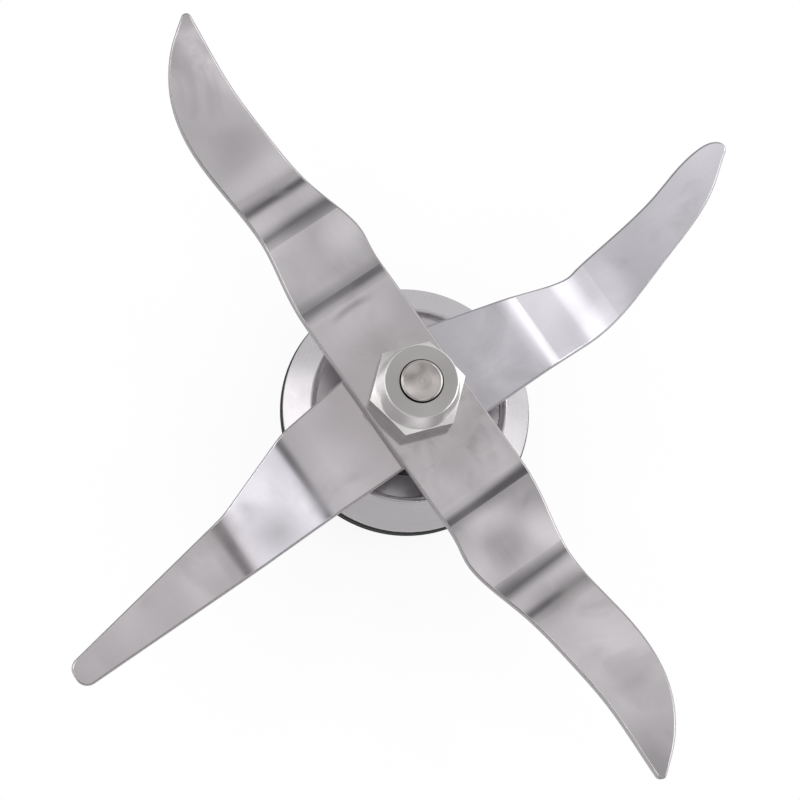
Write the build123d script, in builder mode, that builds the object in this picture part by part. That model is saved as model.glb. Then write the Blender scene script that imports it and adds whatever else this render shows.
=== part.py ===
"""Blender blade assembly: two bent blades on a shaft that turns in a flanged bearing housing.

Millimetres. +Z runs up the shaft. Z = 0 is the plane where the gasket sits on the jar floor.
+X lies along the upper blade and +Y along the lower one.
"""
import os
from math import cos, hypot, radians, sin, sqrt, tan

from build123d import *

os.makedirs("parts", exist_ok=True)

# Flange and spigot of the turned housing
flange_dia = 39.0
flange_edge = 0.6
cone_rise = 3.85
rim_dia = 30.8
rim_land = 0.5
rim_rounding = 0.25
dish_depth = 1.5
dish_corner = 0.5
gasket_thickness = 3.0
gasket_proud = 0.25
gasket_rounding = 0.8
gasket_seat_dia = 29.2
spigot_dia = 28.0
register_length = 14.0
lock_groove_dia = 24.8
lock_groove_width = 5.0
lock_foot = 7.5
lock_slot_width = 9.0
spigot_chamfer = 0.8

# Shaft
shaft_dia = 8.0
seal_journal_dia = 10.0
seat_collar_dia = 14.0
seat_collar_height = 3.4
nut_thread_dia = 8.0
thread_lead_in = 0.9
shaft_end_dia = 6.3
shaft_end_stand = 0.7
shaft_end_rounding = 0.35
end_dish_depth = 0.25
drive_flats = 8.0
clamp_gap = 0.2
tang_flats = 6.4

# Ball bearings, both of the one standard size
bearing_outer_dia = 22.0
bearing_width = 7.0
ball_dia = 3.969
ball_count = 7
land_gap = 2.9
race_play = 0.065
pocket_play = 0.12
cage_band = 1.6
cage_floor = 0.65
cage_skirt = 1.2
shield_thickness = 0.3
shield_inset = 0.1
shield_gap = 0.3
shield_step = 0.35
bearing_spread = 8.0
spacer_wall = 1.4

# Lip seal
seal_height = 5.8
seal_sink = 0.2
seal_wall = 2.0
seal_web = 1.6
lip_wall = 1.55
lip_height = 3.0
lip_edge = 0.4
lip_play = 0.05
garter_wire = 1.0
garter_height = 2.4
garter_play = 0.05
seal_ledge = 1.0
seal_ledge_bore = 19.0

# Retaining rings
bore_ring_thickness = 1.0
bore_ring_bite = 0.45
bore_ring_band = 1.5
shaft_ring_thickness = 0.8
shaft_ring_bite = 0.2
shaft_ring_band = 1.2
ring_groove_play = 0.05
ring_eye_dia = 2.2
ring_eye_hole = 1.0
ring_gap_angle = 50.0

# Drive coupling under the housing
coupling_dia = 17.0
coupling_length = 11.0
coupling_gap = 1.0
coupling_chamfer = 0.6
flute_count = 8
flute_dia = 3.8
flute_depth = 1.3
pin_dia = 2.5
pin_sink = 0.2

# Nut
nut_flats = 13.0
nut_hex_height = 4.6
nut_cone_height = 4.7
nut_face_dia = 11.2
nut_edge_rounding = 0.25
nut_shoulder = 0.1
nut_corner_drop = 0.4
nut_foot_chamfer = 0.3
nut_lip = 1.2
nut_turn = 10.3
end_gap = 0.2

# Blades
sheet = 1.8
blade_height = 12.0
edge_rounding = 0.3
upper_width = 15.4
upper_reach = 68.5
upper_first_bend = 18.6
upper_second_bend = 35.2
upper_dip = 1.05
upper_tip_rise = 5.75
upper_first_radius = 36.0
upper_second_radius = 34.0
hook_first_radius = 11.0
hook_second_radius = 26.0
taper_bend_radius = 30.0
lower_width = 16.7
lower_drop = 3.4
hook_reach = 66.6
hook_first_bend = 20.8
hook_second_bend = 31.0
taper_reach = 65.9
taper_first_bend = 20.1
taper_second_bend = 35.3
taper_tip_width = 4.2
taper_tip_rounding = 1.9
taper_corner_radius = 14.0

# Clearances of pieces that are pushed into or onto each other
fit_play = 0.01
hole_play = 0.04

# Levels up the shaft
flange_under = gasket_thickness
flange_top = flange_under + flange_edge
rim_top = flange_top + cone_rise
dish_floor = rim_top - dish_depth
seal_floor = dish_floor - seal_sink - seal_height
bearing_top = seal_floor - seal_ledge
spacer_top = bearing_top - bearing_width
lower_bearing_top = spacer_top - bearing_spread
stack_bottom = lower_bearing_top - bearing_width
lock_groove_top = -register_length
foot_top = lock_groove_top - lock_groove_width
housing_bottom = foot_top - lock_foot
coupling_top = housing_bottom - coupling_gap
coupling_bottom = coupling_top - coupling_length
pin_height = (coupling_top + coupling_bottom) / 2
collar_floor = blade_height - seat_collar_height
upper_blade_floor = blade_height + sheet
nut_floor = upper_blade_floor + sheet
nut_top = nut_floor + nut_hex_height + nut_cone_height
shaft_top = nut_top + shaft_end_stand

# Radii
flange_r = flange_dia / 2
rim_r = rim_dia / 2
gasket_seat_r = gasket_seat_dia / 2
spigot_r = spigot_dia / 2
lock_groove_r = lock_groove_dia / 2
bore_r = bearing_outer_dia / 2
ring_outer_r = bore_r - fit_play
bore_ring_r = bore_r + bore_ring_bite
journal_r = shaft_dia / 2
seal_journal_r = seal_journal_dia / 2
shaft_ring_r = journal_r - shaft_ring_bite
end_r = shaft_end_dia / 2
thread_r = nut_thread_dia / 2
pitch_r = (bearing_outer_dia + shaft_dia) / 4
ball_r = ball_dia / 2
race_r = ball_r + race_play
inner_land_r = pitch_r - land_gap / 2
outer_land_r = pitch_r + land_gap / 2
shield_r = outer_land_r + shield_step
flute_floor_r = coupling_dia / 2 - flute_depth


# Bearing housing: one turned piece with a conical flange, a hollowed top, a register and a bayonet foot
with BuildPart() as bearing_housing:
    with BuildSketch(Plane.XZ):
        with BuildLine():
            dish_foot = (rim_r - rim_land - dish_corner, dish_floor)
            dish_wall = (rim_r - rim_land, dish_floor + dish_corner)
            TangentArc(dish_foot, dish_wall, tangent=(1, 0))
            Polyline(
                dish_wall,
                (rim_r - rim_land, rim_top),
                (rim_r, rim_top),
                (flange_r, flange_top),
                (flange_r, flange_under),
                (gasket_seat_r, flange_under),
                (gasket_seat_r, 0),
                (spigot_r, 0),
                (spigot_r, lock_groove_top),
                (lock_groove_r, lock_groove_top),
                (lock_groove_r, foot_top),
                (spigot_r, foot_top),
                (spigot_r, housing_bottom + spigot_chamfer),
                (spigot_r - spigot_chamfer, housing_bottom),
                (bore_r, housing_bottom),
                (bore_r, stack_bottom - bore_ring_thickness - ring_groove_play),
                (bore_ring_r + ring_groove_play, stack_bottom - bore_ring_thickness - ring_groove_play),
                (bore_ring_r + ring_groove_play, stack_bottom + ring_groove_play),
                (bore_r, stack_bottom + ring_groove_play),
                (bore_r, bearing_top),
                (seal_ledge_bore / 2, bearing_top),
                (seal_ledge_bore / 2, seal_floor),
                (bore_r, seal_floor),
                (bore_r, dish_floor),
                dish_foot,
            )
        make_face()
    revolve(axis=Axis.Z)
    with BuildSketch(Plane.XY.offset(housing_bottom)):
        with PolarLocations(spigot_r, 2, start_angle=90):
            Rectangle(2 * (spigot_r - lock_groove_r), lock_slot_width)
    extrude(amount=lock_foot, mode=Mode.SUBTRACT)
    rim_edges = bearing_housing.edges().filter_by_position(Axis.Z, rim_top, rim_top)
    flange_edges = bearing_housing.edges().filter_by_position(Axis.Z, flange_top, flange_top)
    fillet(rim_edges + flange_edges, rim_rounding)
bearing_housing.part.label = "bearing_housing"
export_step(bearing_housing.part, "parts/bearing_housing.step")

# Gasket: a moulded rubber ring under the flange
with BuildPart() as flange_gasket:
    with BuildSketch():
        Circle(flange_r + gasket_proud)
        Circle(gasket_seat_r + fit_play, mode=Mode.SUBTRACT)
    extrude(amount=gasket_thickness)
    fillet(flange_gasket.edges().filter_by(GeomType.CIRCLE).group_by(SortBy.RADIUS)[-1], gasket_rounding)
flange_gasket.part.label = "flange_gasket"
export_step(flange_gasket.part, "parts/flange_gasket.step")

# Lip seal: rubber ring with a sprung lip and a dust lip that wipe the shaft
lip_r = seal_journal_r + lip_play
lip_back_r = lip_r + lip_wall
seal_top = seal_floor + seal_height
garter_floor = seal_floor + garter_height
with BuildPart() as shaft_seal:
    with BuildSketch(Plane.XZ):
        with BuildLine():
            Polyline(
                (ring_outer_r, seal_floor),
                (ring_outer_r, seal_top),
                (lip_r + lip_wall / 2, seal_top),
                (lip_r, seal_top - lip_edge),
                (lip_r, seal_top - 2 * lip_edge),
                (lip_r + lip_wall / 2, seal_top - seal_web),
                (lip_r, garter_floor + lip_edge),
                (lip_r, garter_floor),
                (lip_r + lip_wall / 2, garter_floor - lip_height / 3),
                (lip_back_r, garter_floor - lip_height / 3),
                (lip_back_r, seal_top - seal_web),
                (ring_outer_r - seal_wall, seal_top - seal_web),
                (ring_outer_r - seal_wall, seal_floor),
                close=True,
            )
        make_face()
        with Locations((lip_back_r + garter_wire / 4, garter_floor)):
            Circle(garter_wire / 2 + garter_play, mode=Mode.SUBTRACT)
    revolve(axis=Axis.Z)
shaft_seal.part.label = "shaft_seal"
export_step(shaft_seal.part, "parts/shaft_seal.step")

# Garter spring: a closed ring of fine coil that presses the lip to the shaft
with BuildPart() as garter_spring:
    with Locations((0, 0, garter_floor)):
        Torus(lip_back_r + garter_wire / 4, garter_wire / 2)
garter_spring.part.label = "garter_spring"
export_step(garter_spring.part, "parts/garter_spring.step")

# Two ball bearings: rings, caged balls and pressed shields
shield_top = bearing_width / 2 - shield_inset
shield_floor = shield_top - shield_thickness
for bearing, top in (("upper_bearing", bearing_top), ("lower_bearing", lower_bearing_top)):
    middle = top - bearing_width / 2

    with BuildPart() as outer_ring:
        with BuildSketch(Plane.XZ):
            with Locations(((outer_land_r + ring_outer_r) / 2, middle)):
                Rectangle(ring_outer_r - outer_land_r, bearing_width)
            with Locations((outer_land_r, top), (outer_land_r, top - bearing_width)):
                Rectangle(2 * shield_step, 2 * (shield_inset + shield_thickness), mode=Mode.SUBTRACT)
            with Locations((pitch_r, middle)):
                Circle(race_r, mode=Mode.SUBTRACT)
        revolve(axis=Axis.Z)
    outer_ring.part.label = f"{bearing}_outer_ring"
    export_step(outer_ring.part, f"parts/{bearing}_outer_ring.step")

    with BuildPart() as inner_ring:
        with BuildSketch(Plane.XZ):
            with Locations(((inner_land_r + journal_r + fit_play) / 2, middle)):
                Rectangle(inner_land_r - journal_r - fit_play, bearing_width)
            with Locations((pitch_r, middle)):
                Circle(race_r, mode=Mode.SUBTRACT)
        revolve(axis=Axis.Z)
    inner_ring.part.label = f"{bearing}_inner_ring"
    export_step(inner_ring.part, f"parts/{bearing}_inner_ring.step")

    with BuildPart() as balls:
        with Locations((0, 0, middle)):
            with PolarLocations(pitch_r, ball_count):
                Sphere(ball_r)
    balls.part.label = f"{bearing}_balls"
    export_step(balls.part, f"parts/{bearing}_balls.step")

    with BuildPart() as cage:
        with BuildSketch(Plane.XY.offset(middle - cage_skirt)):
            Circle(pitch_r + cage_band / 2)
            Circle(pitch_r - cage_band / 2, mode=Mode.SUBTRACT)
        extrude(amount=cage_skirt + ball_r + pocket_play + cage_floor)
        with Locations((0, 0, middle)):
            with PolarLocations(pitch_r, ball_count):
                Sphere(ball_r + pocket_play, mode=Mode.SUBTRACT)
    cage.part.label = f"{bearing}_cage"
    export_step(cage.part, f"parts/{bearing}_cage.step")

    with BuildPart() as shields:
        for floor in (middle + shield_floor, middle - shield_top):
            with BuildSketch(Plane.XY.offset(floor)):
                Circle(shield_r - fit_play)
                Circle(inner_land_r + shield_gap, mode=Mode.SUBTRACT)
            extrude(amount=shield_thickness)
    shields.part.label = f"{bearing}_shields"
    export_step(shields.part, f"parts/{bearing}_shields.step")

# Spacers that keep the two bearings apart, one between the outer rings and one between the inner rings
with BuildPart() as outer_spacer:
    with BuildSketch(Plane.XY.offset(lower_bearing_top)):
        Circle(ring_outer_r)
        Circle(ring_outer_r - spacer_wall, mode=Mode.SUBTRACT)
    extrude(amount=bearing_spread)
outer_spacer.part.label = "outer_spacer"
export_step(outer_spacer.part, "parts/outer_spacer.step")

with BuildPart() as inner_spacer:
    with BuildSketch(Plane.XY.offset(lower_bearing_top)):
        Circle(journal_r + fit_play + spacer_wall)
        Circle(journal_r + fit_play, mode=Mode.SUBTRACT)
    extrude(amount=bearing_spread)
inner_spacer.part.label = "inner_spacer"
export_step(inner_spacer.part, "parts/inner_spacer.step")


def snap_ring(outer_r, inner_r, eye_r):
    """Plan of a spring retaining ring, open towards +X, with an eye for pliers at each end."""
    half_gap = radians(ring_gap_angle / 2)
    eyes = [(eye_r * cos(half_gap), side * eye_r * sin(half_gap)) for side in (1, -1)]
    reach = 2 * outer_r
    with BuildSketch(mode=Mode.PRIVATE) as ring:
        Circle(outer_r)
        Circle(inner_r, mode=Mode.SUBTRACT)
        with BuildLine():
            Polyline(
                (0, 0),
                (reach, reach * tan(half_gap)),
                (reach, -reach * tan(half_gap)),
                close=True,
            )
        make_face(mode=Mode.SUBTRACT)
        with Locations(*eyes):
            Circle(ring_eye_dia / 2)
        with Locations(*eyes):
            Circle(ring_eye_hole / 2, mode=Mode.SUBTRACT)
    return ring.sketch


# Retaining ring sprung into the bore under the lower bearing
with BuildPart() as bore_retaining_ring:
    with BuildSketch(Plane.XY.offset(stack_bottom - bore_ring_thickness)):
        add(snap_ring(bore_ring_r, bore_ring_r - bore_ring_band, bore_r - fit_play - ring_eye_dia / 2))
    extrude(amount=bore_ring_thickness)
bore_retaining_ring.part.label = "bore_retaining_ring"
export_step(bore_retaining_ring.part, "parts/bore_retaining_ring.step")

# Retaining ring sprung onto the shaft under the lower bearing
with BuildPart() as shaft_retaining_ring:
    sprung_r = shaft_ring_r + fit_play
    with BuildSketch(Plane.XY.offset(stack_bottom - shaft_ring_thickness)):
        add(snap_ring(shaft_ring_r + shaft_ring_band, sprung_r, sprung_r + ring_eye_dia / 2))
    extrude(amount=shaft_ring_thickness)
shaft_retaining_ring.part.label = "shaft_retaining_ring"
export_step(shaft_retaining_ring.part, "parts/shaft_retaining_ring.step")

# Drive shaft: turned, with a blade seat, a bearing shoulder, flats at both ends and a dished top end
lip_floor = nut_top - nut_lip
blade_stack = 2 * sheet - clamp_gap
with BuildPart() as drive_shaft:
    with BuildSketch(Plane.XZ):
        with BuildLine():
            dish_rim = (end_r - shaft_end_rounding, shaft_top)
            TangentArc((0, shaft_top - end_dish_depth), dish_rim, tangent=(1, 0))
            TangentArc(dish_rim, (end_r, shaft_top - shaft_end_rounding), tangent=(1, 0))
            Polyline(
                (end_r, shaft_top - shaft_end_rounding),
                (end_r, lip_floor - hole_play),
                (thread_r, lip_floor - hole_play - thread_lead_in),
                (thread_r, blade_height + blade_stack),
                (seal_journal_r, blade_height + blade_stack),
                (seal_journal_r, blade_height),
                (seat_collar_dia / 2, blade_height),
                (seat_collar_dia / 2, collar_floor),
                (seal_journal_r, collar_floor),
                (seal_journal_r, bearing_top),
                (journal_r, bearing_top),
                (journal_r, stack_bottom),
                (shaft_ring_r, stack_bottom),
                (shaft_ring_r, stack_bottom - shaft_ring_thickness - ring_groove_play),
                (journal_r, stack_bottom - shaft_ring_thickness - ring_groove_play),
                (journal_r, coupling_bottom + coupling_chamfer),
                (journal_r - coupling_chamfer, coupling_bottom),
                (0, coupling_bottom),
                (0, shaft_top - end_dish_depth),
            )
        make_face()
    revolve(axis=Axis.Z)
    with BuildSketch(Plane.XY.offset(blade_height)):
        Circle(seat_collar_dia / 2)
        Rectangle(drive_flats, seat_collar_dia, mode=Mode.SUBTRACT)
    extrude(amount=blade_stack, mode=Mode.SUBTRACT)
    with BuildSketch(Plane.XY.offset(coupling_bottom)):
        Circle(seat_collar_dia / 2)
        Rectangle(tang_flats, seat_collar_dia, mode=Mode.SUBTRACT)
    extrude(amount=coupling_length, mode=Mode.SUBTRACT)
    with BuildSketch(Plane.YZ):
        with Locations((0, pin_height)):
            Circle(pin_dia / 2 + fit_play)
    extrude(amount=seat_collar_dia, both=True, mode=Mode.SUBTRACT)
drive_shaft.part.label = "drive_shaft"
export_step(drive_shaft.part, "parts/drive_shaft.step")

# Drive coupling: fluted driver on the shaft's flatted tang
with BuildPart() as drive_coupling:
    with BuildSketch(Plane.XY.offset(coupling_bottom)):
        Circle(coupling_dia / 2)
        with PolarLocations(flute_floor_r + flute_dia / 2, flute_count):
            Circle(flute_dia / 2, mode=Mode.SUBTRACT)
    extrude(amount=coupling_length)
    ends = drive_coupling.edges().group_by(Axis.Z)
    chamfer(ends[0] + ends[-1], coupling_chamfer)
    with BuildSketch(Plane.XY.offset(coupling_bottom)):
        Circle(journal_r + hole_play)
        Rectangle(tang_flats + 2 * hole_play, coupling_dia, mode=Mode.INTERSECT)
    extrude(amount=coupling_length, mode=Mode.SUBTRACT)
    with BuildSketch(Plane.YZ):
        with Locations((0, pin_height)):
            Circle(pin_dia / 2 + fit_play)
    extrude(amount=coupling_dia, both=True, mode=Mode.SUBTRACT)
drive_coupling.part.label = "drive_coupling"
export_step(drive_coupling.part, "parts/drive_coupling.step")

# Cross pin that holds the coupling on the tang
with BuildPart() as coupling_pin:
    with BuildSketch(Plane.YZ):
        with Locations((0, pin_height)):
            Circle(pin_dia / 2)
    extrude(amount=flute_floor_r - pin_sink, both=True)
    chamfer(coupling_pin.edges().filter_by(GeomType.CIRCLE), pin_sink)
coupling_pin.part.label = "coupling_pin"
export_step(coupling_pin.part, "parts/coupling_pin.step")

# Nut: hexagon with a narrow shoulder, and a steep turned cone above it with a round top face
corner_r = nut_flats / sqrt(3)
with BuildPart() as blade_nut:
    with BuildSketch(Plane.XY.offset(nut_floor)):
        RegularPolygon(nut_flats / 2, 6, major_radius=False, rotation=nut_turn)
    extrude(amount=nut_top - nut_floor)
    with BuildSketch(Plane.XZ):
        with BuildLine():
            Polyline(
                (0, nut_floor),
                (corner_r - nut_foot_chamfer, nut_floor),
                (corner_r, nut_floor + nut_foot_chamfer),
                (corner_r, nut_floor + nut_hex_height - nut_corner_drop),
                (nut_flats / 2 - nut_shoulder, nut_floor + nut_hex_height),
                (nut_face_dia / 2, nut_top),
                (0, nut_top),
                close=True,
            )
        make_face()
    revolve(axis=Axis.Z, mode=Mode.INTERSECT)
    fillet(blade_nut.edges().filter_by_position(Axis.Z, nut_top, nut_top), nut_edge_rounding)
    with BuildSketch(Plane.XY.offset(nut_floor)):
        Circle(thread_r + hole_play)
    extrude(amount=nut_top - nut_lip - nut_floor, mode=Mode.SUBTRACT)
    with BuildSketch(Plane.XY.offset(nut_floor)):
        Circle(end_r + end_gap)
    extrude(amount=nut_top - nut_floor, mode=Mode.SUBTRACT)
blade_nut.part.label = "blade_nut"
export_step(blade_nut.part, "parts/blade_nut.step")


def drive_hole():
    """Hole that fits the shaft's flatted blade seat."""
    with BuildSketch(mode=Mode.PRIVATE) as hole:
        Circle(seal_journal_r + hole_play)
        Rectangle(drive_flats + 2 * hole_play, seat_collar_dia, mode=Mode.INTERSECT)
    return hole.sketch


def cut_edges(blade):
    """Edges of the blanked outline, top and bottom, without the drive hole."""
    walls = blade.faces().filter_by(lambda face: abs(face.normal_at().Z) < 0.001)
    outer_walls = walls.filter_by(lambda face: hypot(face.center().X, face.center().Y) > seal_journal_r)
    return outer_walls.edges().filter_by(Axis.Z, reverse=True)


# Upper blade's plan: a scimitar arm along +X with its back towards +Y, and the same arm turned half round
upper_half = upper_width / 2
with BuildSketch() as upper_plan:
    with BuildSketch(mode=Mode.PRIVATE) as upper_arm:
        with BuildLine():
            back_root = (upper_first_bend - 1, upper_half)
            tip_back = (upper_reach - 0.5, -upper_half + 4.35)
            tip_front = (upper_reach - 1.2, -upper_half + 3.05)
            front_root = (upper_first_bend + 1.2, -upper_half)
            Polyline(front_root, (0, -upper_half), (0, upper_half), back_root)
            back_edge = Spline(
                back_root,
                (upper_second_bend - 2.2, upper_half - 2.05),
                (upper_second_bend + 12.6, upper_half - 0.9),
                (upper_reach - 10, upper_half - 2.6),
                (upper_reach - 3.6, upper_half - 7.1),
                tip_back,
                tangents=((1, 0), (0.6, -0.8)),
            )
            tip = TangentArc(tip_back, tip_front, tangent=back_edge % 1)
            Spline(
                tip_front,
                (upper_reach - 14.5, -upper_half + 3.75),
                (upper_second_bend + 11.1, -upper_half + 3.2),
                (upper_second_bend + 1.4, -upper_half + 1.8),
                (upper_first_bend + 7, -upper_half - 0.65),
                front_root,
                tangents=(tip % 1, (-1, 0)),
            )
        make_face()
    with PolarLocations(0, 2):
        add(upper_arm.sketch)
    add(drive_hole(), mode=Mode.SUBTRACT)

# Upper blade: each arm dips a little past the hub and then rises to its tip
upper_face = upper_blade_floor + sheet
upper_radii = [upper_first_radius, upper_second_radius]
with BuildPart() as upper_blade:
    with BuildSketch(Plane.XZ):
        with BuildLine():
            upper_top_line = FilletPolyline(
                (-upper_reach - sheet, upper_face + upper_tip_rise),
                (-upper_second_bend, upper_face - upper_dip),
                (-upper_first_bend, upper_face),
                (upper_first_bend, upper_face),
                (upper_second_bend, upper_face - upper_dip),
                (upper_reach + sheet, upper_face + upper_tip_rise),
                radius=upper_radii[::-1] + upper_radii,
            )
            offset(upper_top_line, amount=sheet, side=Side.RIGHT)
        make_face()
    extrude(amount=upper_width, both=True)
    with BuildSketch(Plane.XY.offset(upper_blade_floor - upper_width)):
        add(upper_plan.sketch)
    extrude(amount=2 * upper_width, mode=Mode.INTERSECT)
    fillet(cut_edges(upper_blade), edge_rounding)
upper_blade.part.label = "upper_blade"
export_step(upper_blade.part, "parts/upper_blade.step")

# Lower blade's plan: one straight back edge, a hooked arm along +Y and a tapered arm along -Y
lower_half = lower_width / 2
with BuildSketch() as lower_plan:
    with BuildLine():
        hook_back = (lower_half, hook_second_bend - 2.5)
        hook_tip_back = (-lower_half + 3.6, hook_reach - 0.8)
        hook_tip_front = (-lower_half + 1.9, hook_reach - 0.5)
        hook_neck = (-lower_half + 4.9, hook_second_bend - 5.5)
        front_edge = FilletPolyline(
            hook_neck,
            (-lower_half, hook_first_bend - 14.5),
            (-lower_half, -taper_first_bend + 14),
            (-lower_half + 1.7, -taper_first_bend + 0.1),
            (-lower_half + 6.7, -taper_second_bend + 1.3),
            (lower_half - taper_tip_width, -taper_reach),
            (lower_half, -taper_reach),
            hook_back,
            radius=4 * [taper_corner_radius] + 2 * [taper_tip_rounding],
        )
        hook_edge = Spline(
            hook_back,
            (lower_half - 4.0, hook_second_bend + 15.5),
            (lower_half - 9.7, hook_reach - 5.5),
            hook_tip_back,
            tangents=((0, 1), (-0.55, 0.85)),
        )
        hook_tip = TangentArc(hook_tip_back, hook_tip_front, tangent=hook_edge % 1)
        Spline(
            hook_tip_front,
            (-lower_half + 0.8, hook_reach - 5.6),
            (-lower_half + 3.2, hook_reach - 15.6),
            (-lower_half + 5.85, hook_second_bend + 2.5),
            hook_neck,
            tangents=(hook_tip % 1, front_edge % 0),
        )
    make_face()
    add(drive_hole(), mode=Mode.SUBTRACT)

# Lower blade: both arms step down past the hub, so that their tips sweep close to the jar floor
lower_face = blade_height + sheet
with BuildPart() as lower_blade:
    with BuildSketch(Plane.YZ):
        with BuildLine():
            lower_top_line = FilletPolyline(
                (-taper_reach - sheet, lower_face - lower_drop),
                (-taper_second_bend, lower_face - lower_drop),
                (-taper_first_bend, lower_face),
                (hook_first_bend, lower_face),
                (hook_second_bend, lower_face - lower_drop),
                (hook_reach + sheet, lower_face - lower_drop),
                radius=2 * [taper_bend_radius] + [hook_first_radius, hook_second_radius],
            )
            offset(lower_top_line, amount=sheet, side=Side.RIGHT)
        make_face()
    extrude(amount=lower_width, both=True)
    with BuildSketch(Plane.XY.offset(blade_height - lower_width)):
        add(lower_plan.sketch)
    extrude(amount=2 * lower_width, mode=Mode.INTERSECT)
    fillet(cut_edges(lower_blade), edge_rounding)
lower_blade.part.label = "lower_blade"
export_step(lower_blade.part, "parts/lower_blade.step")
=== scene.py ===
from math import cos, sin, tau

import bmesh
import bpy
from mathutils import Matrix, Vector


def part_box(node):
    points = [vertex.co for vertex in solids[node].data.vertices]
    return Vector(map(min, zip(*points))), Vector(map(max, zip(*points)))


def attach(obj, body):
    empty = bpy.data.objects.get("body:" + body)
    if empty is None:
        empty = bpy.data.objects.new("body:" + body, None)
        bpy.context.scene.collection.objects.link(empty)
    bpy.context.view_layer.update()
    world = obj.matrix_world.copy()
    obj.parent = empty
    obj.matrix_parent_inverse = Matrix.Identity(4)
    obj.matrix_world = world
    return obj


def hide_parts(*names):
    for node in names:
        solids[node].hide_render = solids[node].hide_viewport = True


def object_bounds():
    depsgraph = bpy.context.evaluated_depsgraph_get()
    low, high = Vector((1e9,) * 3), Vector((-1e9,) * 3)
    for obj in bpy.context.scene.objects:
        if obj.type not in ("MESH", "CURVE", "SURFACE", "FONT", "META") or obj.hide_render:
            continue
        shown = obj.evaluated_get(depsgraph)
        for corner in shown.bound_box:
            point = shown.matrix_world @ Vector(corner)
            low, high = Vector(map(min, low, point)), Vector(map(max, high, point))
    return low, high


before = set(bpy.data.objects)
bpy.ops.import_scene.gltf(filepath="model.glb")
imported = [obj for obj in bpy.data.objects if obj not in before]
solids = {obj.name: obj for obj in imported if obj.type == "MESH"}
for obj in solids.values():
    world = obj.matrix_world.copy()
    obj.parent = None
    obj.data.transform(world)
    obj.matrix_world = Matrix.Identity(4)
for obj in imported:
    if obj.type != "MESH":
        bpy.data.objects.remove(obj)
cad_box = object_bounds()


# Bearing housing: one piece of stainless bar, turned on a lathe. The tool has left fine rings on its flange,
# its dish and its spigot. It is pushed through the jar floor and held from below by a twist ring.


def connect(tree, target, inputs):
    """Gives a shader node its inputs. Each is a plain value or another node's output."""
    for name, value in inputs.items():
        if isinstance(value, bpy.types.NodeSocket):
            tree.links.new(value, target.inputs[name])
        else:
            target.inputs[name].default_value = value


def add_node(tree, kind, inputs, **settings):
    """One shader node with its settings and inputs."""
    made = tree.nodes.new(kind)
    for name, value in settings.items():
        setattr(made, name, value)
    connect(tree, made, inputs)
    return made


def place_on(tree):
    """Place on the piece, in metres."""
    return tree.nodes["coordinates"].outputs["Object"]


def new_material(name):
    """A material, its node tree, and the place on the piece in metres."""
    material = bpy.data.materials.new(name)
    material.use_nodes = True
    tree = material.node_tree
    add_node(tree, "ShaderNodeTexCoord", {}, name="coordinates")
    return material, tree, place_on(tree)


def dress(tree, looks):
    """Gives a material's shader its looks. Each is a plain value or a node's output."""
    connect(tree, tree.nodes["Principled BSDF"], looks)


def shown(tree, socket):
    """What a socket of a material's shader shows so far."""
    return tree.nodes["Principled BSDF"].inputs[socket].links[0].from_socket


def worked(tree, operation, one, other=0.0):
    """Sum, product or the like of two values."""
    return add_node(tree, "ShaderNodeMath", {0: one, 1: other}, operation=operation).outputs[0]


def vector_worked(tree, operation, one, other=(0, 0, 0)):
    """Sum, product or the like of two vectors."""
    made = add_node(tree, "ShaderNodeVectorMath", {0: one, 1: other}, operation=operation)
    return made.outputs["Value" if operation in ("LENGTH", "DOT_PRODUCT") else "Vector"]


def plus(tree, one, other):
    """Sum of two values."""
    return worked(tree, "ADD", one, other)


def times(tree, one, other):
    """Product of two values."""
    return worked(tree, "MULTIPLY", one, other)


def swing(tree, value, middle, amount):
    """How far a value is above or below its middle, times an amount."""
    return times(tree, worked(tree, "SUBTRACT", value, middle), amount)


def distance(tree, value, middle):
    """How far a value is from a middle one, either way."""
    return worked(tree, "ABSOLUTE", worked(tree, "SUBTRACT", value, middle))


def ranged(tree, value, old, new=(0.0, 1.0), kind="LINEAR"):
    """Value carried from an old range to a new one, and held at its ends."""
    limits = {"From Min": old[0], "From Max": old[1], "To Min": new[0], "To Max": new[1]}
    made = add_node(tree, "ShaderNodeMapRange", {"Value": value} | limits, interpolation_type=kind)
    return made.outputs["Result"]


def mixed(tree, amount, one, other):
    """Colour that runs from one to the other with amount."""
    factor, first_colour, second_colour, result_colour = 0, 6, 7, 2
    inputs = {factor: amount, first_colour: one, second_colour: other}
    return add_node(tree, "ShaderNodeMix", inputs, data_type="RGBA").outputs[result_colour]


def noise(tree, place, scale, detail, roughness=0.5, distortion=0.0):
    """Clouds from 0 to 1. Scale is their number to a metre."""
    inputs = {"Vector": place, "Scale": scale, "Detail": detail, "Roughness": roughness}
    made = add_node(tree, "ShaderNodeTexNoise", inputs | {"Distortion": distortion})
    return made.outputs["Fac"]


def tool_marks(tree, path, scale, detail):
    """Uneven lines across a tool's path. Scale is their number to a metre."""
    inputs = {"W": path, "Scale": scale, "Detail": detail}
    return add_node(tree, "ShaderNodeTexNoise", inputs, noise_dimensions="1D").outputs["Fac"]


def bumped(tree, height, strength, depth):
    """Surface that rises with height, by depth in metres."""
    inputs = {"Height": height, "Strength": strength, "Distance": depth}
    return add_node(tree, "ShaderNodeBump", inputs).outputs["Normal"]


def parts(tree, vector):
    """X, Y and Z of a place or a direction."""
    return add_node(tree, "ShaderNodeSeparateXYZ", {0: vector}).outputs


def facing(tree):
    """How much the surface faces along X, Y and Z."""
    return parts(tree, tree.nodes["coordinates"].outputs["Normal"])


def axis_distance(tree, place):
    """Distance from the shaft's axis, in metres."""
    return vector_worked(tree, "LENGTH", vector_worked(tree, "MULTIPLY", place, (1, 1, 0)))


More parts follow.
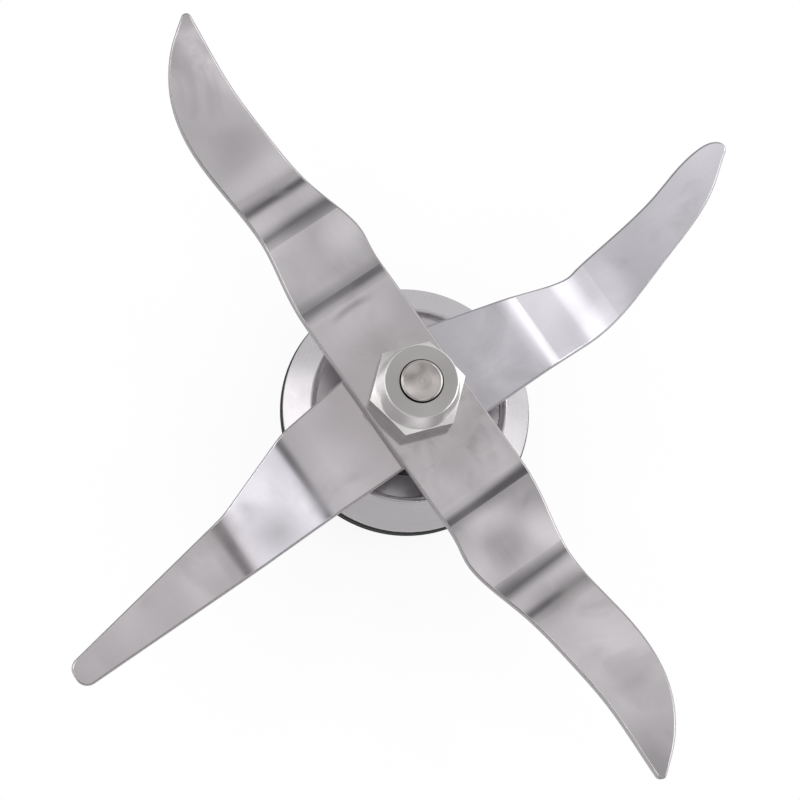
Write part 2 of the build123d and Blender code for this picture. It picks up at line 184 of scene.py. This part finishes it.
def turned_metal(name, pale, dull, roughness, feed, depth, contrast=0.35):
    """Metal off the lathe: rings that follow the tool's path over faces, cones and cylinders alike.

    Feed is the step between rings and depth how deep they are, both in metres."""
    material, tree, place = new_material(name)
    path = worked(tree, "SUBTRACT", axis_distance(tree, place), parts(tree, place)["Z"])
    fine = tool_marks(tree, path, scale=1 / feed, detail=2.0)
    coarse = tool_marks(tree, path, scale=0.2 / feed, detail=1.0)
    rings = plus(tree, fine, coarse)
    clouds = noise(tree, place, scale=160, detail=4.0, distortion=0.4)
    tone = plus(tree, swing(tree, rings, 1.0, contrast), swing(tree, clouds, 0.5, 0.3))
    turning = add_node(tree, "ShaderNodeTangent", {}, direction_type="RADIAL", axis="Z")
    looks = {
        "Base Color": mixed(tree, ranged(tree, tone, (-0.2, 0.2)), dull, pale),
        "Roughness": ranged(tree, clouds, (0.3, 0.7), (roughness * 0.8, roughness * 1.35)),
        "Normal": bumped(tree, rings, 1.0, depth),
        "Tangent": turning.outputs["Tangent"],
        "Metallic": 1.0,
        "Anisotropic": 0.35,
    }
    dress(tree, looks)
    return material


def lay_over(tree, cover, looks):
    """Mixes new looks over a finish, as far as they cover it."""
    for socket, look in looks.items():
        dress(tree, {socket: mixed(tree, cover, shown(tree, socket), look)})


def painted_highlight_wall(material, radius, half_width, soft_edge):
    """Paints a highlight: the steep faces near a radius are made paler and duller than the rest."""
    tree = material.node_tree
    steep = ranged(tree, worked(tree, "ABSOLUTE", facing(tree)["Z"]), (0.85, 0.99), (1.0, 0.0))
    off = distance(tree, axis_distance(tree, place_on(tree)), radius)
    near = ranged(tree, off, (half_width - soft_edge, half_width + soft_edge), (1.0, 0.0))
    looks = {"Base Color": (0.97, 0.95, 0.97, 1), "Roughness": (0.7, 0.7, 0.7, 1)}
    lay_over(tree, times(tree, steep, near), looks)


def finish(material, *names):
    """Gives solids of the frame their finish."""
    for name in names:
        solids[name].material_slots[0].material = material


housing_steel = turned_metal(
    "turned_stainless",
    pale=(0.72, 0.7, 0.725, 1),
    dull=(0.64, 0.62, 0.645, 1),
    roughness=0.28,
    feed=0.00012,
    depth=0.0000008,
    contrast=0.2,
)
# painted highlight: the wall of the dish and its rounded corner show as a pale line in the photograph, and
# are painted pale and dull here
painted_highlight_wall(housing_steel, radius=0.0147, half_width=0.0005, soft_edge=0.0001)
finish(housing_steel, "bearing_housing")


# Gasket: a ring moulded in black rubber, squeezed between the flange and the jar floor. Where the two halves
# of the mould met, a thin line of flash runs round its edge.


def moulded_rubber(name, deep, worn, roughness):
    """Black rubber with the fine grain of its mould and a little dust in it."""
    material, tree, place = new_material(name)
    grain = noise(tree, place, scale=5200, detail=2.0)
    dust = noise(tree, place, scale=300, detail=5.0, roughness=0.65)
    looks = {
        "Base Color": mixed(tree, ranged(tree, dust, (0.45, 0.75)), deep, worn),
        "Roughness": ranged(tree, dust, (0.3, 0.7), (roughness * 0.85, roughness * 1.15)),
        "Normal": bumped(tree, grain, 0.6, 0.00003),
    }
    dress(tree, looks)
    return material


gasket_rubber = moulded_rubber(
    "gasket_rubber", deep=(0.008, 0.008, 0.009, 1), worn=(0.028, 0.028, 0.03, 1), roughness=0.6
)
finish(gasket_rubber, "flange_gasket")

gasket_low, gasket_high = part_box("flange_gasket")
gasket_radius = gasket_high.x
flash_height = (gasket_low.z + gasket_high.z) / 2
flash_sink = 0.00006
flash_stand = 0.00007
flash_half = 0.00009
flash_steps = 180
flash_profile = (
    (gasket_radius - flash_sink, flash_height - flash_half),
    (gasket_radius + flash_stand, flash_height),
    (gasket_radius - flash_sink, flash_height + flash_half),
)
flash_mesh = bmesh.new()
flash_rows = []
for step in range(flash_steps):
    turn = tau * step / flash_steps
    corners = [(reach * cos(turn), reach * sin(turn), height) for reach, height in flash_profile]
    flash_rows.append([flash_mesh.verts.new(corner) for corner in corners])
for here, there in zip(flash_rows, flash_rows[1:] + flash_rows[:1]):
    for side in range(len(flash_profile)):
        after = (side + 1) % len(flash_profile)
        flash_mesh.faces.new((here[side], there[side], there[after], here[after]))
bmesh.ops.recalc_face_normals(flash_mesh, faces=flash_mesh.faces)


def piece_of(name, built, material):
    """Object made of a finished mesh."""
    mesh = bpy.data.meshes.new(name)
    built.to_mesh(mesh)
    built.free()
    mesh.materials.append(material)
    made = bpy.data.objects.new(name, mesh)
    bpy.context.scene.collection.objects.link(made)
    return made


gasket_flash = piece_of("gasket_flash", flash_mesh, gasket_rubber)
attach(gasket_flash, "housing")


# Lip seal: black rubber pressed into the housing's mouth. A garter spring, which is a fine coil hooked into
# a ring, lies in a groove behind the lip and presses it to the shaft.
seal_rubber = moulded_rubber(
    "seal_rubber", deep=(0.05, 0.05, 0.052, 1), worn=(0.085, 0.085, 0.088, 1), roughness=0.5
)
finish(seal_rubber, "shaft_seal")


def tempered_steel(name, pale, dark, roughness):
    """Oiled spring steel with a faint blue cast where it was tempered."""
    material, tree, place = new_material(name)
    scale = noise(tree, place, scale=900, detail=4.0)
    temper = noise(tree, place, scale=140, detail=2.0)
    looks = {
        "Base Color": mixed(tree, ranged(tree, temper, (0.35, 0.65)), dark, pale),
        "Roughness": ranged(tree, scale, (0.3, 0.7), (roughness * 0.75, roughness * 1.3)),
        "Normal": bumped(tree, scale, 0.5, 0.00001),
        "Metallic": 1.0,
    }
    dress(tree, looks)
    return material


spring_steel = tempered_steel(
    "spring_steel", pale=(0.2, 0.2, 0.21, 1), dark=(0.11, 0.11, 0.13, 1), roughness=0.32
)
spring_low, spring_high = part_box("garter_spring")
spring_middle = (spring_low + spring_high) / 2
coil_radius = (spring_high.z - spring_low.z) / 2
wire_to_coil = 0.2
wire_radius = coil_radius * wire_to_coil
turn_radius = coil_radius - wire_radius
ring_radius = spring_high.x - coil_radius
coil_turns = 190
points_a_turn = 8
coil_line = bpy.data.curves.new("garter_coil", "CURVE")
coil_line.dimensions = "3D"
coil_line.bevel_depth = wire_radius
coil_line.bevel_resolution = 1
coil = coil_line.splines.new("POLY")
coil.points.add(coil_turns * points_a_turn - 1)
coil.use_cyclic_u = True
for number, point in enumerate(coil.points):
    round_ring = tau * number / len(coil.points)
    round_coil = tau * number / points_a_turn
    reach = ring_radius + turn_radius * cos(round_coil)
    height = spring_middle.z + turn_radius * sin(round_coil)
    point.co = (reach * cos(round_ring), reach * sin(round_ring), height, 1)
coil_line.materials.append(spring_steel)
garter_coil = bpy.data.objects.new("garter_coil", coil_line)
bpy.context.scene.collection.objects.link(garter_coil)
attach(garter_coil, "housing")
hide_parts("garter_spring")


# Ball bearings: hardened rings and balls, ground and polished, with a moulded nylon cage that keeps the
# balls apart. A thin pressed shield snaps into each side of the outer ring.
bearing_steel = turned_metal(
    "ground_bearing_steel",
    pale=(0.72, 0.72, 0.73, 1),
    dull=(0.64, 0.64, 0.65, 1),
    roughness=0.1,
    feed=0.00005,
    depth=0.0000008,
)
shield_steel = turned_metal(
    "pressed_shield",
    pale=(0.62, 0.62, 0.62, 1),
    dull=(0.52, 0.52, 0.53, 1),
    roughness=0.24,
    feed=0.0003,
    depth=0.000003,
)


def moulded_nylon(name, pale, dark, roughness):
    """Natural nylon: a little see-through, with faint flow marks from the mould."""
    material, tree, place = new_material(name)
    flow = noise(tree, place, scale=420, detail=3.0, distortion=1.2)
    looks = {
        "Base Color": mixed(tree, ranged(tree, flow, (0.3, 0.7)), dark, pale),
        "Roughness": ranged(tree, flow, (0.3, 0.7), (roughness * 0.85, roughness * 1.2)),
        "Subsurface Weight": 0.15,
        "Subsurface Scale": 0.0008,
    }
    dress(tree, looks)
    return material


cage_nylon = moulded_nylon(
    "cage_nylon", pale=(0.66, 0.58, 0.42, 1), dark=(0.52, 0.44, 0.3, 1), roughness=0.42
)
for bearing in ("upper_bearing", "lower_bearing"):
    finish(bearing_steel, f"{bearing}_outer_ring", f"{bearing}_inner_ring", f"{bearing}_balls")
    finish(cage_nylon, f"{bearing}_cage")
    finish(shield_steel, f"{bearing}_shields")


# Spacers: two aluminium sleeves, cut from tube and faced on the lathe. One keeps the bearings' outer rings
# apart in the housing, the other their inner rings on the shaft.
spacer_aluminium = turned_metal(
    "turned_aluminium",
    pale=(0.74, 0.745, 0.75, 1),
    dull=(0.62, 0.625, 0.63, 1),
    roughness=0.28,
    feed=0.00015,
    depth=0.000004,
)
finish(spacer_aluminium, "outer_spacer", "inner_spacer")


# Retaining rings: stamped from spring steel, with an eye at each end for pliers. They are sprung into
# grooves, one in the bore under the bearings and one on the shaft.
finish(spring_steel, "bore_retaining_ring", "shaft_retaining_ring")


# Drive shaft: stainless bar, turned and then ground where the seal and the bearings run. Its top end is
# dished by the tool that formed it and shows in the middle of the nut.
shaft_steel = turned_metal(
    "shaft_stainless",
    pale=(0.74, 0.705, 0.695, 1),
    dull=(0.56, 0.525, 0.515, 1),
    roughness=0.19,
    feed=0.00009,
    depth=0.000003,
)
finish(shaft_steel, "drive_shaft")


# Drive coupling: pressed from steel powder and sintered, so it is dull grey with tiny open pores. A ground
# pin goes through it and the shaft's flat tang.


def eased(tree, value, old, new=(0.0, 1.0)):
    """Value carried from an old range to a new one, with soft ends."""
    return ranged(tree, value, old, new, "SMOOTHSTEP")


def sintered_steel(name, pale, dark, roughness):
    """Sintered steel: matt grey, pitted with pores that hold oil."""
    material, tree, place = new_material(name)
    pores = add_node(tree, "ShaderNodeTexVoronoi", {"Vector": place, "Scale": 4200, "Randomness": 1.0})
    patches = noise(tree, place, scale=420, detail=5.0, roughness=0.6)
    rim = eased(tree, pores.outputs["Distance"], (0.05, 0.4))
    tone = times(tree, rim, ranged(tree, patches, (0.3, 0.7), (0.6, 1.0)))
    looks = {
        "Base Color": mixed(tree, tone, dark, pale),
        "Roughness": ranged(tree, patches, (0.3, 0.7), (roughness * 0.85, roughness * 1.2)),
        "Normal": bumped(tree, rim, 0.5, 0.00002),
        "Metallic": 1.0,
    }
    dress(tree, looks)
    return material


coupling_steel = sintered_steel(
    "sintered_steel", pale=(0.46, 0.455, 0.45, 1), dark=(0.2, 0.195, 0.19, 1), roughness=0.38
)
finish(coupling_steel, "drive_coupling")
finish(bearing_steel, "coupling_pin")


# Blades: blanked from stainless sheet, tumbled until the edges are soft, and bent in a press. The faces are
# satin and a little wavy by the bends, with smears from handling, and the sheared edges are duller.


def with_smudges_and_reflections(tree, place, tone, ragged, smudges_and_reflections):
    """Tone with smudge marks and painted reflections added. Ragged is how far their outlines stray.

    Each patch, smudge and painted reflection alike, is its place and half sizes along X and Y, in
    millimetres, and how much paler it is."""
    mm_a_metre = 1000
    for x, y, half_x, half_y, paler in smudges_and_reflections:
        away = vector_worked(tree, "SUBTRACT", place, (x / mm_a_metre, y / mm_a_metre, 0))
        scaled = vector_worked(tree, "MULTIPLY", away, (mm_a_metre / half_x, mm_a_metre / half_y, 0))
        outline = plus(tree, vector_worked(tree, "LENGTH", scaled), ragged)
        tone = plus(tree, tone, eased(tree, outline, (0.1, 1.3), (paler, 0.0)))
    return tone


def blade_sheet(name, along, across, grain_lines, bends_begin, bends_end, stained, smudges_and_reflections):
    """Tumbled stainless sheet.

    Along is the arms' axis and across the other one. Grain_lines is the rolling grain in lines a metre each
    way. Bends_begin and bends_end are the stretches, out from the shaft, over which the strain of the bends
    grows and fades. Stained is the tone of the stains by the nut."""
    material, tree, place = new_material(name)
    spot = parts(tree, place)
    normal = facing(tree)
    wall = eased(tree, worked(tree, "ABSOLUTE", normal["Z"]), (0.35, 0.75), (1.0, 0.0))
    side = eased(tree, worked(tree, "ABSOLUTE", normal[across]), (0.1, 0.4))
    sheared = worked(tree, "MAXIMUM", wall, side)
    out = worked(tree, "ABSOLUTE", spot[along])
    strained = times(tree, eased(tree, out, bends_begin), eased(tree, out, bends_end, (1.0, 0.0)))

    run = add_node(tree, "ShaderNodeMapping", {"Vector": place, "Scale": grain_lines}).outputs["Vector"]
    grain = noise(tree, run, scale=1.0, detail=3.0)
    clouds = noise(tree, place, scale=62, detail=1.5, distortion=0.3)
    smears = noise(tree, place, scale=90, detail=4.0, distortion=0.6)
    mottle = noise(tree, place, scale=300, detail=3.0, distortion=0.4)
    waves = noise(tree, place, scale=60, detail=0.5)

    smear = eased(tree, smears, (0.52, 0.7))
    # darker near the hub: the face is mixed towards grey, and holds the stains, within about 14 to 24 mm of
    # the shaft, with a ragged edge
    hub_dark_stray = 0.012
    hub_dark_edge = (0.014, 0.024)
    reach = plus(tree, axis_distance(tree, place), times(tree, smears, hub_dark_stray))
    darker_near_hub = eased(tree, reach, hub_dark_edge, (1.0, 0.0))
    cloud = swing(tree, clouds, 0.5, ranged(tree, strained, (0.0, 1.0), (0.75, 1.5)))
    tone = plus(tree, cloud, swing(tree, grain, 0.5, 0.07))
    stains = times(tree, eased(tree, mottle, (0.42, 0.72), (0.05, stained)), darker_near_hub)
    stained_side = ranged(tree, spot[along], (0.0, 0.006), (0.2, 1.0))
    tone = plus(tree, tone, times(tree, stains, stained_side))
    # smudge marks from handling, together with painted reflections
    tone = with_smudges_and_reflections(tree, place, tone, ranged(tree, smears, (0.2, 0.8), (-0.4, 0.4)), smudges_and_reflections)

    face = mixed(tree, ranged(tree, tone, (-0.5, 0.5)), (0.4, 0.382, 0.4, 1), (0.96, 0.923, 0.962, 1))
    smears_and_hub_darkening = plus(tree, times(tree, smear, 0.2), times(tree, darker_near_hub, 0.4))
    face = mixed(tree, smears_and_hub_darkening, face, (0.42, 0.395, 0.4, 1))
    satin = ranged(tree, clouds, (0.3, 0.7), (0.085, 0.125))
    duller = plus(tree, times(tree, smear, 0.05), times(tree, sheared, 0.26))
    swell = times(tree, waves, ranged(tree, strained, (0.0, 1.0), (0.4, 1.0)))
    looks = {
        "Base Color": mixed(tree, sheared, face, (0.48, 0.463, 0.475, 1)),
        "Roughness": plus(tree, satin, duller),
        "Normal": bumped(tree, swell, 1.0, 0.0002),
        "Metallic": 1.0,
    }
    dress(tree, looks)
    return material


def rub_mark(material, radius, half_width, middle, fade):
    """Adds a curved grey mark that goes round the shaft on the hub's -X side.

    Middle is its place along Y, and fade how far from there its ends begin to fade and are gone."""
    tree = material.node_tree
    place = place_on(tree)
    spot = parts(tree, place)
    off = distance(tree, axis_distance(tree, place), radius)
    over = distance(tree, spot["Y"], middle)
    line = eased(tree, off, (0.0, half_width), (0.5, 0.0))
    faded = eased(tree, over, fade, (1.0, 0.0))
    one_side = worked(tree, "LESS_THAN", spot["X"], 0.0)
    mark = times(tree, times(tree, line, faded), one_side)
    lay_over(tree, mark, {"Base Color": (0.3, 0.285, 0.29, 1)})


# dark smudge marks and pale patches, placed after the photograph: some are smudges from handling, and the
# pale patches and the narrow dark bands by the second bends are painted reflections
upper_smudges_and_reflections = (
    (-25.7, 5.5, 5.0, 4.0, 0.42),
    (-27.5, -2.8, 4.0, 3.0, -0.12),
    (-20.8, -0.3, 2.0, 5.0, 0.12),
    (-38.4, 0.2, 1.6, 10.0, -0.4),
    (-41.5, 1.5, 2.5, 7.5, 0.2),
    (-46.0, -1.5, 4.0, 5.0, -0.17),
    (-52.5, 5.5, 4.0, 3.0, 0.25),
    (-58.0, 3.6, 4.0, 3.0, 0.32),
    (-63.5, 2.0, 5.0, 4.0, 0.34),
    (-14.0, 0.5, 4.0, 6.0, 0.14),
    (9.6, 3.6, 2.2, 2.4, -0.14),
    (7.4, 5.4, 1.6, 2.0, -0.12),
    (12.0, -1.9, 3.0, 3.0, -0.14),
    (15.2, 4.2, 3.5, 3.5, 0.22),
    (22.3, -1.7, 2.5, 4.0, 0.18),
    (26.6, -1.6, 3.5, 3.5, -0.36),
    (28.0, 5.0, 5.0, 3.0, 0.25),
    (36.4, 3.0, 1.8, 7.0, -0.3),
    (38.5, -1.5, 2.5, 5.0, -0.2),
    (47.0, 1.5, 5.5, 5.5, 0.14),
    (54.4, 2.0, 2.0, 4.0, -0.17),
    (66.0, -3.5, 5.0, 3.0, -0.25),
)
upper_sheet = blade_sheet(
    "upper_blade_sheet",
    along="X",
    across="Y",
    grain_lines=(150, 3200, 900),
    bends_begin=(0.0166, 0.0216),
    bends_end=(0.0332, 0.0392),
    stained=-0.32,
    smudges_and_reflections=upper_smudges_and_reflections,
)
# a curved rub mark lies beside the hub in the photograph
rub_mark(upper_sheet, radius=0.0166, half_width=0.0009, middle=-0.0004, fade=(0.001, 0.0046))
finish(upper_sheet, "upper_blade")


def bluer_arms(material, plain_middle, plain_edge, slope_end):
    """Makes the hooked arm and the slope of the tapered arm a little bluer than the rest of the sheet.

    Plain_edge is how far along Y from its middle the plain hub fades, and slope_end where the slope does."""
    tree = material.node_tree
    along = parts(tree, place_on(tree))["Y"]
    off_hub = eased(tree, distance(tree, along, plain_middle), plain_edge)
    bluer = times(tree, off_hub, eased(tree, along, slope_end))
    tint = mixed(tree, bluer, (1.0, 0.985, 0.985, 1), (1.005, 1.02, 1.055, 1))
    dress(tree, {"Base Color": vector_worked(tree, "MULTIPLY", shown(tree, "Base Color"), tint)})


# smudge marks and painted reflections on the lower blade, as for the upper one
lower_smudges_and_reflections = (
    (4.2, 17.3, 2.6, 2.0, -0.12),
    (4.4, 12.3, 4.0, 4.0, 0.14),
    (7.0, 33.5, 4.0, 5.0, 0.35),
    (3.0, 36.8, 6.0, 4.0, 0.3),
    (-2.0, -28.0, 4.0, 4.5, 0.34),
    (5.4, -28.4, 4.2, 4.4, -0.36),
    (-1.5, -32.4, 3.5, 2.0, 0.4),
    (3.4, -41.5, 4.0, 4.0, 0.15),
    (4.6, -49.0, 6.0, 5.0, -0.14),
    (6.0, -60.0, 6.0, 5.0, -0.1),
)
lower_sheet = blade_sheet(
    "lower_blade_sheet",
    along="Y",
    across="X",
    grain_lines=(3200, 150, 900),
    bends_begin=(0.0181, 0.0231),
    bends_end=(0.0333, 0.0393),
    stained=-0.06,
    smudges_and_reflections=lower_smudges_and_reflections,
)
bluer_arms(lower_sheet, plain_middle=-0.008, plain_edge=(0.0105, 0.0145), slope_end=(-0.037, -0.031))
finish(lower_sheet, "lower_blade")


# Nut: turned from hexagon bar, with a steep cone that leaves a round face on top. Its steel is painted far
# paler than the rest as a painted highlight on the cone, its round top face is painted darker as painted
# shade, and its flats are painted grey as drawn skin and painted shade together. It screws down on the shaft
# and clamps both blades to the shaft's collar.
# painted highlight: the nut's steel is painted far paler than the other turned steel, so that its steep cone
# shows white
nut_steel = turned_metal(
    "nut_stainless",
    pale=(0.97, 0.955, 0.955, 1),
    dull=(0.89, 0.875, 0.875, 1),
    roughness=0.33,
    feed=0.00014,
    depth=0.0000015,
    contrast=0.2,
)
nut_tree = nut_steel.node_tree
nut_upright = facing(nut_tree)["Z"]
# painted shade: the round top face, which faces straight up, is painted darker than the cone
shaded_top_face = ranged(nut_tree, nut_upright, (0.955, 0.985), (0.0, 0.75))
# the flats are painted grey: partly the bar's drawn skin, partly painted shade on the nut's sides
drawn_skin_and_shade = ranged(nut_tree, worked(nut_tree, "ABSOLUTE", nut_upright), (0.05, 0.12), (1.0, 0.0))
lay_over(nut_tree, shaded_top_face, {"Base Color": (0.44, 0.425, 0.42, 1)})
lay_over(nut_tree, drawn_skin_and_shade, {"Base Color": (0.5, 0.49, 0.49, 1)})
finish(nut_steel, "blade_nut")


# Studio: a white floor under the drive end, and a light tent round the object. The tent's white cloth is
# brighter at the sides, and its frame leaves darker bars overhead, which the bent blades pick up.
floor_gap = 0.0002
floor_radius = 6.0
shadow_reach = 0.15
mirrored_share = 0.2
floor_mesh = bmesh.new()
bmesh.ops.create_circle(floor_mesh, cap_ends=True, segments=96, radius=floor_radius)
bmesh.ops.translate(floor_mesh, verts=floor_mesh.verts, vec=(0, 0, cad_box[0].z - floor_gap))
floor_white, floor_tree, floor_place = new_material("studio_floor")
weave = noise(floor_tree, floor_place, scale=600, detail=2.0)
floor_colour = mixed(floor_tree, weave, (0.9, 0.9, 0.9, 1), (0.94, 0.94, 0.94, 1))
dress(floor_tree, {"Base Color": floor_colour, "Roughness": 0.9})
shadow = add_node(floor_tree, "ShaderNodeAmbientOcclusion", {"Distance": shadow_reach}, samples=8)
shaded_white = ranged(floor_tree, shadow.outputs["AO"], (0.3, 0.82), (0.86, 1.0))
glow = add_node(floor_tree, "ShaderNodeEmission", {"Color": (1, 1, 1, 1), "Strength": shaded_white})
rays = add_node(floor_tree, "ShaderNodeLightPath", {}).outputs
mirrored = times(floor_tree, rays["Is Glossy Ray"], mirrored_share)
seen = worked(floor_tree, "MAXIMUM", rays["Is Camera Ray"], mirrored)
seen = worked(floor_tree, "MAXIMUM", seen, rays["Is Transmission Ray"])
lit_floor = floor_tree.nodes["Principled BSDF"].outputs["BSDF"]
floor_mix = add_node(floor_tree, "ShaderNodeMixShader", {0: seen, 1: lit_floor, 2: glow.outputs["Emission"]})
connect(floor_tree, floor_tree.nodes["Material Output"], {"Surface": floor_mix.outputs["Shader"]})
floor = piece_of("studio_floor", floor_mesh, floor_white)

tent = bpy.data.worlds.new("light_tent")
bpy.context.scene.world = tent
tent.use_nodes = True
sky = tent.node_tree
towards = add_node(sky, "ShaderNodeTexCoord", {}).outputs["Generated"]
upward = parts(sky, towards)["Z"]
cloth = eased(sky, upward, (0.0, 0.9), (0.68, 0.8))
above_walls = eased(sky, upward, (0.35, 0.55), (0.0, 0.5))
below_ceiling = eased(sky, upward, (0.8, 0.92), (1.0, 0.0))
shoulder = times(sky, above_walls, below_ceiling)
light = times(sky, cloth, worked(sky, "SUBTRACT", 1.0, shoulder))


def cloth_panel(under, middle, across, width, length, level):
    """Brightness of the tent with one more panel in it, of its own level.

    Width, which runs across, and length are each a half size and a soft edge, at one metre."""
    forward = Vector(middle).normalized()
    sideways = (Vector(across) - forward * forward.dot(Vector(across))).normalized()
    lengthways = forward.cross(sideways)
    least_ahead = 0.02
    ahead = vector_worked(sky, "DOT_PRODUCT", towards, forward)
    cover = worked(sky, "GREATER_THAN", ahead, least_ahead)
    for axis, (half, edge) in ((sideways, width), (lengthways, length)):
        off = worked(sky, "DIVIDE", vector_worked(sky, "DOT_PRODUCT", towards, axis), ahead)
        within = eased(sky, worked(sky, "ABSOLUTE", off), (half - edge, half + edge), (1.0, 0.0))
        cover = times(sky, cover, within)
    kept = times(sky, under, worked(sky, "SUBTRACT", 1.0, cover))
    return plus(sky, kept, times(sky, cover, level))


picture_right = Vector((0.5751, 0.8115, 0.1038))
picture_up = Vector((-0.8114, 0.5494, 0.1996))
left_side = -picture_right + Vector((0, 0, 0.25))
right_side = picture_right + Vector((0, 0, 0.05))
along_x = (1, 0, 0)
along_z = (0, 0, 1)
# each panel's middle, the way its width runs, its width, its length and its brightness
tent_panels = (
    # a grey screen in front, then the front and back sheets
    ((0.6, -0.6, 0.62), (1, 1, 0), (1.5, 0.12), (0.3, 0.1), 0.2),
    ((-0.22, -0.32, 1), along_x, (0.12, 0.08), (0.13, 0.04), 1.2),
    ((-0.1, 0.8, 1), along_x, (0.11, 0.05), (0.2, 0.25), 1.45),
    ((-0.1, 2.2, 1), along_x, (0.3, 0.06), (0.33, 0.06), 0.8),
    # the two sides
    (left_side, along_z, (0.3, 0.12), (0.55, 0.12), 1.6),
    (right_side, along_z, (0.3, 0.15), (0.6, 0.15), 1.85),
    # the ceiling, its paler middle and two pale seams
    ((-0.107, 0.055, 1), along_x, (0.6, 0.05), (0.225, 0.09), 0.62),
    ((-0.107, 0.175, 1), along_x, (0.105, 0.02), (0.095, 0.06), 0.73),
    ((0.09, 0.17, 1), along_x, (0.018, 0.012), (0.13, 0.05), 0.86),
    ((-0.36, 0.17, 1), along_x, (0.018, 0.013), (0.13, 0.05), 0.9),
    # the dark bars of its frame
    ((0.016, 0.2, 1), along_x, (0.036, 0.024), (0.1, 0.03), 0.12),
    ((-0.228, 0.2, 1), along_x, (0.038, 0.028), (0.1, 0.03), 0.16),
    ((-0.11, -0.114, 1), along_x, (0.3, 0.03), (0.045, 0.035), 0.2),
    # lamps behind the cloth on three sides, and the dark door on the fourth
    ((-0.54, -0.32, 1), along_x, (0.13, 0.05), (0.17, 0.06), 2.6),
    ((0.31, 0.97, 1), along_x, (0.2, 0.06), (0.22, 0.06), 2.2),
    ((0.62, -0.26, 1), along_x, (0.13, 0.05), (0.16, 0.06), 1.5),
    ((-1.0, 0.1, 1), along_x, (0.22, 0.08), (0.25, 0.08), 0.25),
    # one pale and two dark panes that show in the dished end of the shaft
    ((-0.23, 0.02, 1), along_x, (0.06, 0.03), (0.06, 0.025), 1.1),
    ((0.1, 0.06, 1), along_x, (0.07, 0.03), (0.05, 0.03), 0.25),
    ((0.04, 0.42, 1), along_x, (0.1, 0.04), (0.12, 0.05), 0.2),
)
for middle, across, width, length, level in tent_panels:
    light = cloth_panel(light, middle, across, width, length, level)
connect(sky, sky.nodes["Background"], {"Color": (1, 0.995, 0.99, 1), "Strength": light})


# Camera: above the blades and tilted a little from the shaft's line, as the photograph was taken. It stands
# a third of a metre away, with a lens of about 100 mm.
aim = Vector((-0.00048, -0.00243, 0.0156))
camera_distance = 0.34
camera_data = bpy.data.cameras.new("camera")
camera_data.lens = 100.53
camera_data.sensor_width = 36.0
camera_data.clip_start = 0.01
camera = bpy.data.objects.new("camera", camera_data)
picture_back = picture_right.cross(picture_up).normalized()
upright = picture_back.cross(picture_right).normalized()
camera_turn = Matrix((picture_right.normalized(), upright, picture_back)).transposed()
camera.matrix_world = Matrix.Translation(aim + picture_back * camera_distance) @ camera_turn.to_4x4()
bpy.context.scene.collection.objects.link(camera)
bpy.context.scene.camera = camera
bpy.context.scene.view_settings.view_transform = "Standard"
